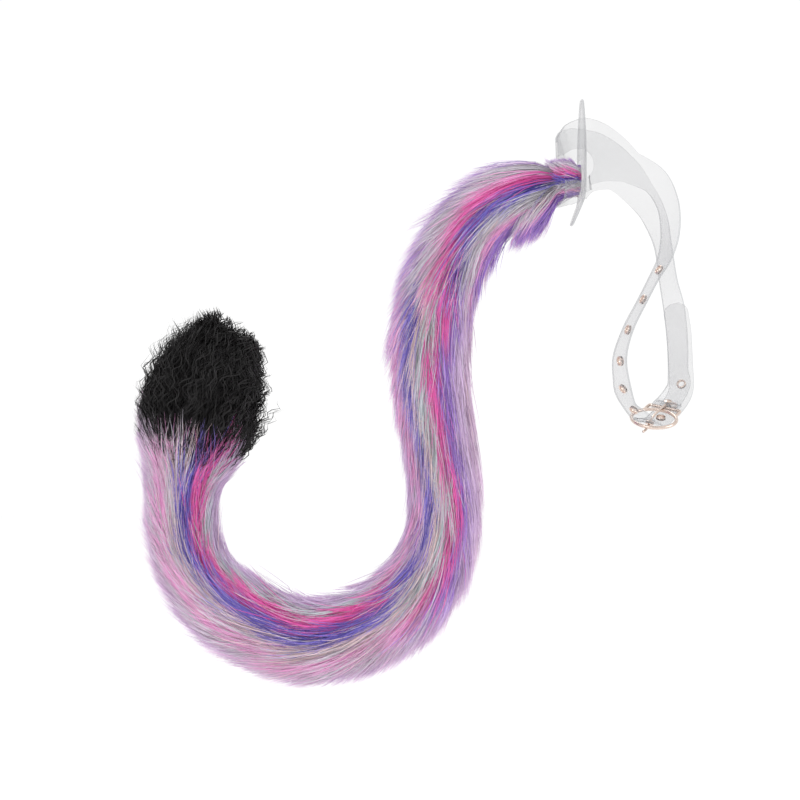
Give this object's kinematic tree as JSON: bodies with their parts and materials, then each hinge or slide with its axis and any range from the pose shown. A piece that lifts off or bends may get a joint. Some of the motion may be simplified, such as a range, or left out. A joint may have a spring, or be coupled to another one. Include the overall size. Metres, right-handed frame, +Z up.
{
  "type": "costume animal tail",
  "caption": "Long furry costume tail with a curly tip, worn upright on a clear back plate and a clear buckled waist belt.",
  "frame": {"origin": "middle of the support plate's face that lies on the wearer's lower back", "axes": "+X out of that face, towards the wearer; +Z up along the plate; +Y across the plate"},
  "size_m": [0.4416, 0.1395, 0.4529],
  "materials": {
    "striped_fur": "long soft pile striped in lavender, pink, violet and grey",
    "black_fur": "curly black pile",
    "clear_plastic": "clear soft vinyl, glossy",
    "rose_gold": "polished rose gold plating"
  },
  "bodies": {
    "root": {"fur_tail": "striped_fur", "tip_tuft": "black_fur", "support_plate": "clear_plastic", "belt": "clear_plastic", "eyelet_1": "rose_gold", "eyelet_2": "rose_gold", "eyelet_3": "rose_gold", "eyelet_4": "rose_gold", "eyelet_5": "rose_gold", "eyelet_6": "rose_gold", "eyelet_7": "rose_gold", "eyelet_8": "rose_gold", "eyelet_9": "rose_gold", "eyelet_10": "rose_gold", "buckle_ring": "rose_gold", "buckle_prong": "rose_gold", "fold_rivet": "rose_gold"}
  },
  "joints": []
}
